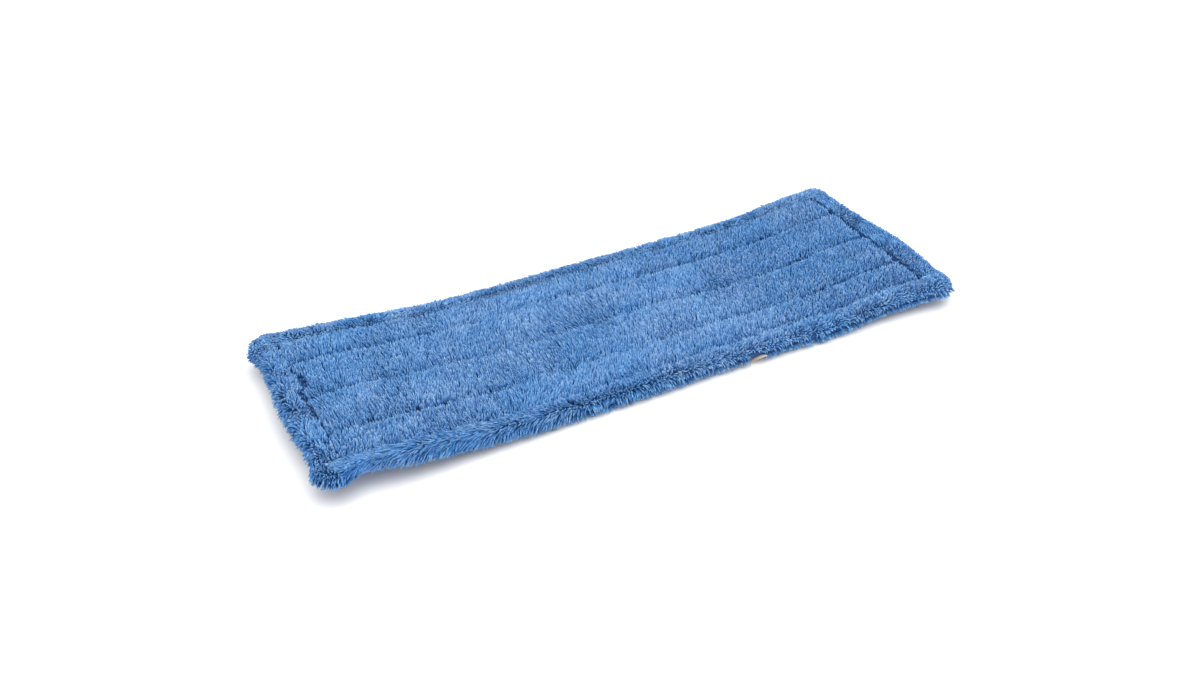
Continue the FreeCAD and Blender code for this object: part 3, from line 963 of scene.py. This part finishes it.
def pocket_seam(side, material):
    """The lockstitches round three sides of one pocket, on the underside of its rim."""
    sign = -1 if side == "left" else 1
    low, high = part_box(f"{side}_pocket_seam_thread")
    start, end = min(abs(low.x), abs(high.x)), max(abs(low.x), abs(high.x))
    reach = high.y - STITCH_RADIUS
    corners = np.array([(start, -reach), (end, -reach), (end, reach), (start, reach)])
    lengths = np.linalg.norm(np.diff(corners, axis=0), axis=1)
    run = np.concatenate([[0], np.cumsum(lengths)])
    count = int(run[-1] / POCKET_STITCH)
    t = np.linspace(-0.4, 0.4, 7)
    s = (np.arange(count)[:, None] + 0.5 + t[None, :]) * POCKET_STITCH
    x = sign * np.interp(s, run, corners[:, 0])
    y = np.interp(s, run, corners[:, 1])
    z = panel_low(x, y) - STITCH_RADIUS * (0.7 - 1.5 * (2 * np.abs(t)) ** 4)
    radii = np.full(x.shape, STITCH_RADIUS * 0.85)
    rng = np.random.default_rng(400)
    centres = np.stack([x, y, z], -1)
    rim = tubes_object(f"{side}_rim_stitches", centres, radii, 6, material, rng, twist=0.5)
    return join(f"{side}_pocket_stitches", [rim, mouth_seam(side, material)])


def bartacks(side, material):
    """The two blocks of close stitches that hold the corners of one pocket's mouth."""
    sign = -1 if side == "left" else 1
    low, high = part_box(f"{side}_pocket_bartacks")
    start, end = min(abs(low.x), abs(high.x)), max(abs(low.x), abs(high.x))
    rows = np.linspace(start, end, BARTACK_ROWS)
    t = np.linspace(-1, 1, 7)
    centre = high.y - BARTACK_WIDTH / 2
    centres = []
    for across in (-centre, centre):
        x = sign * (rows[:, None] + 0.25 * MM * t[None, :])
        y = across + BARTACK_WIDTH / 2 * t[None, :] + 0 * x
        z = panel_low(x, y) - STITCH_RADIUS * (0.8 - 1.4 * np.abs(t) ** 4)
        centres.append(np.stack([x, y, z], -1))
    centres = np.concatenate(centres)
    radii = np.full(centres.shape[:2], STITCH_RADIUS)
    rng = np.random.default_rng(410)
    return tubes_object(f"{side}_bartack_stitches", centres, radii, 6, material, rng, twist=0.5)


def care_label(material):
    """A blank label under the near hem, whose outer corner curls out past the pile."""
    low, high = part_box("right_care_label")
    u, v = np.meshgrid(np.linspace(0, 1, 30), np.linspace(0, 1, 30), indexing="ij")
    x = low.x + (high.x - low.x) * u
    curl = smoothstep(0.7, 1, u) * smoothstep(0.65, 1, v)
    x = x + 3.0 * MM * curl
    y = high.y + (low.y - high.y) * v - 5.2 * MM * curl
    base = lift(x, y) - PANEL - 0.9 * MM

    def under(x, y):
        return np.maximum(base + 5.6 * MM * curl, FLOOR_GAP)

    def over(x, y):
        return under(x, y) + 0.35 * MM

    return shell_object("care_label", x, y, under, over, material)


def floor_and_light():
    """A pale floor, a white surround and two soft lights."""
    bpy.ops.mesh.primitive_plane_add(size=12, location=(0, 0, 0))
    floor = bpy.context.object
    floor.name = "floor"
    floor.data.materials.append(floor_material())
    world = bpy.data.worlds.new("studio")
    bpy.context.scene.world = world
    world.use_nodes = True
    world.node_tree.nodes["Background"].inputs["Color"].default_value = (1, 1, 1, 1)
    world.node_tree.nodes["Background"].inputs["Strength"].default_value = 1.08
    for name, place, size, power in (
        ("overhead", (0.05, -0.1, 1.6), 2.2, 18.5),
        ("side", (1.2, 0.6, 1.1), 0.8, 5),
    ):
        lamp = bpy.data.lights.new(name, "AREA")
        lamp.size = size
        lamp.energy = power
        light = bpy.data.objects.new(name, lamp)
        light.location = place
        light.rotation_euler = (-Vector(place)).to_track_quat("-Z", "Y").to_euler()
        bpy.context.scene.collection.objects.link(light)
    bpy.context.scene.view_settings.view_transform = "Standard"


def make_camera():
    """In front of the pad and to its left, looking down over it."""
    camera = bpy.data.objects.new("camera", bpy.data.cameras.new("camera"))
    camera.data.sensor_width = 36
    camera.data.lens = 37.5
    camera.location = (-0.3168, -0.5799, 0.4616)
    heading, down = math.radians(27.95), math.radians(35.29)
    camera.rotation_euler = (math.pi / 2 - down, 0, -heading)
    bpy.context.scene.collection.objects.link(camera)
    bpy.context.scene.camera = camera


# ---------------------------------------------------------------- the pad

def cross_fold(piece):
    """Bakes the piece's placement into its mesh; it is attached to neither half."""
    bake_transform(piece)


def both_halves(name):
    return [f"left_{name}", f"right_{name}"]


def build_face_pile(pile):
    """The pile of the face cloth: each channel in three stretches."""
    stretches = {
        "left": (-SEAM_END, -STRETCH),
        "middle": (-STRETCH, STRETCH),
        "right": (STRETCH, SEAM_END),
    }
    tufts = []
    for i, y_range in enumerate(zip(SEAM_LINES, SEAM_LINES[1:])):
        for j, (stretch, x_range) in enumerate(stretches.items()):
            name = f"{stretch}_channel_{i + 1}_pile"
            piece = channel_pile(name, x_range, y_range, 100 + 10 * i + j, pile)
            if stretch == "middle":
                cross_fold(piece)
            else:
                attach(piece, f"{stretch}_half")
            tufts.append(piece)
    return tufts


def build_layers(pile, ground, felt, backing):
    """Backing, core and the ground of the face cloth, with the pile on it."""
    x, y = rounded_grid(CORE_END, CORE_SIDE, 8 * MM, 3 * MM, 2.4 * MM)
    back = shell_object("carrier_cloth", x, y, backing_low, backing_high, backing)
    core = shell_object(
        "core_felt", x, y, lambda x, y: backing_high(x, y) + 0.02 * MM, core_high, felt
    )
    fine_x, fine_y = rounded_grid(SEAM_END, SEAM_SIDE, 2 * MM, 2.5 * MM, 1.4 * MM)
    face = shell_object(
        "face_ground",
        fine_x,
        fine_y,
        lambda x, y: core_high(x, y) + 0.02 * MM,
        ground_high,
        ground,
    )
    tufts = build_face_pile(pile)
    for piece, nodes, slot in (
        (back, both_halves("backing_cloth"), "backing_cloth"),
        (core, both_halves("absorbent_core"), "core_felt"),
        (face, both_halves("face_cloth"), "pile_cloth"),
    ):
        cross_fold(piece)
        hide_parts(*nodes)


def build_hems(pile, ground):
    """The four rolled hems with their strands."""
    for which, seed in (("near", 201), ("far", 202), ("left_end", 203), ("right_end", 204)):
        roll = hem_roll(f"{which}_hem_roll", which, ground)
        tufts = hem_pile(f"{which}_hem_pile", which, seed, pile)
        for piece in (roll, tufts):
            if which in ("near", "far"):
                cross_fold(piece)
            else:
                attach(piece, f"{which.split('_')[0]}_half")
        if which in ("near", "far"):
            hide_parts(*both_halves(f"{which}_hem"))
        else:
            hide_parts(f"{which}_hem")
        points = hem_route(which, 3 * MM)[0]
        run = float(np.linalg.norm(np.diff(points, axis=0), axis=1).sum())


def build_seams(thread, pale_thread):
    """Stitches on the pile side and on the underside of every seam."""
    for i, (name, (direction, line)) in enumerate(SEAMS.items()):
        reach = SEAM_END if direction == "x" else SEAM_SIDE
        yarn = pale_thread if name == "right_end" else thread
        top = stitch_row(f"{name}_top", direction, line, reach, ground_high, 1, yarn, 300 + i)
        bottom = stitch_row(
            f"{name}_under", direction, line, reach, backing_low, -1, yarn, 320 + i
        )
        row = join(f"{name}_stitches", [top, bottom])
        if direction == "x":
            cross_fold(row)
            kind = "thread" if name.endswith("border") else "quilting_thread"
            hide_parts(*both_halves(f"{name}_{kind}"))
        else:
            side = name.split("_")[0]
            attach(row, f"{side}_half")
            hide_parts(f"{side}_end_seam_thread")


def build_pockets(cloth, thread):
    """The two pockets: panel, turned mouth, stitches and bartacks."""
    for side in ("left", "right"):
        SETTLED[side] = dropped_panel(side)
        panel = pocket_panel(side, cloth)
        turning = mouth_hem(side, cloth)
        for piece, node in ((panel, "pocket_panel"), (turning, "pocket_mouth_hem")):
            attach(piece, f"{side}_half")
            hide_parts(f"{side}_{node}")
        stitches, blocks = pocket_seam(side, thread), bartacks(side, thread)
        for piece, node in ((stitches, "pocket_seam_thread"), (blocks, "pocket_bartacks")):
            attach(piece, f"{side}_half")
            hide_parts(f"{side}_{node}")


def build_label(cloth):
    """The care label, which rides with the half it is sewn to."""
    label = care_label(cloth)
    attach(label, "right_half")
    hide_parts("right_care_label")


def build_pad():
    """Every piece of the pad, with its material."""
    pile = pile_material()
    ground = woven_material(
        "ground_cloth", (0.017, 0.090, 0.270), (0.008, 0.048, 0.160), 0.9 * MM
    )
    felt = felt_material()
    carrier = woven_material("carrier", (0.14, 0.26, 0.54), (0.07, 0.15, 0.36), 0.7 * MM)
    pocket = woven_material("pocket_cloth", (0.09, 0.17, 0.38), (0.03, 0.08, 0.24), 0.5 * MM, 0.6)
    thread = thread_material("thread", (0.08, 0.22, 0.56), (0.04, 0.12, 0.37))
    pale_thread = thread_material("pale_thread", (0.42, 0.50, 0.84), (0.24, 0.34, 0.68))
    label = woven_material("label_cloth", (0.62, 0.54, 0.46), (0.46, 0.38, 0.31), 0.4 * MM)
    build_layers(pile, ground, felt, carrier)
    build_hems(pile, ground)
    build_seams(thread, pale_thread)
    build_pockets(pocket, thread)
    build_label(label)


build_pad()
floor_and_light()
make_camera()
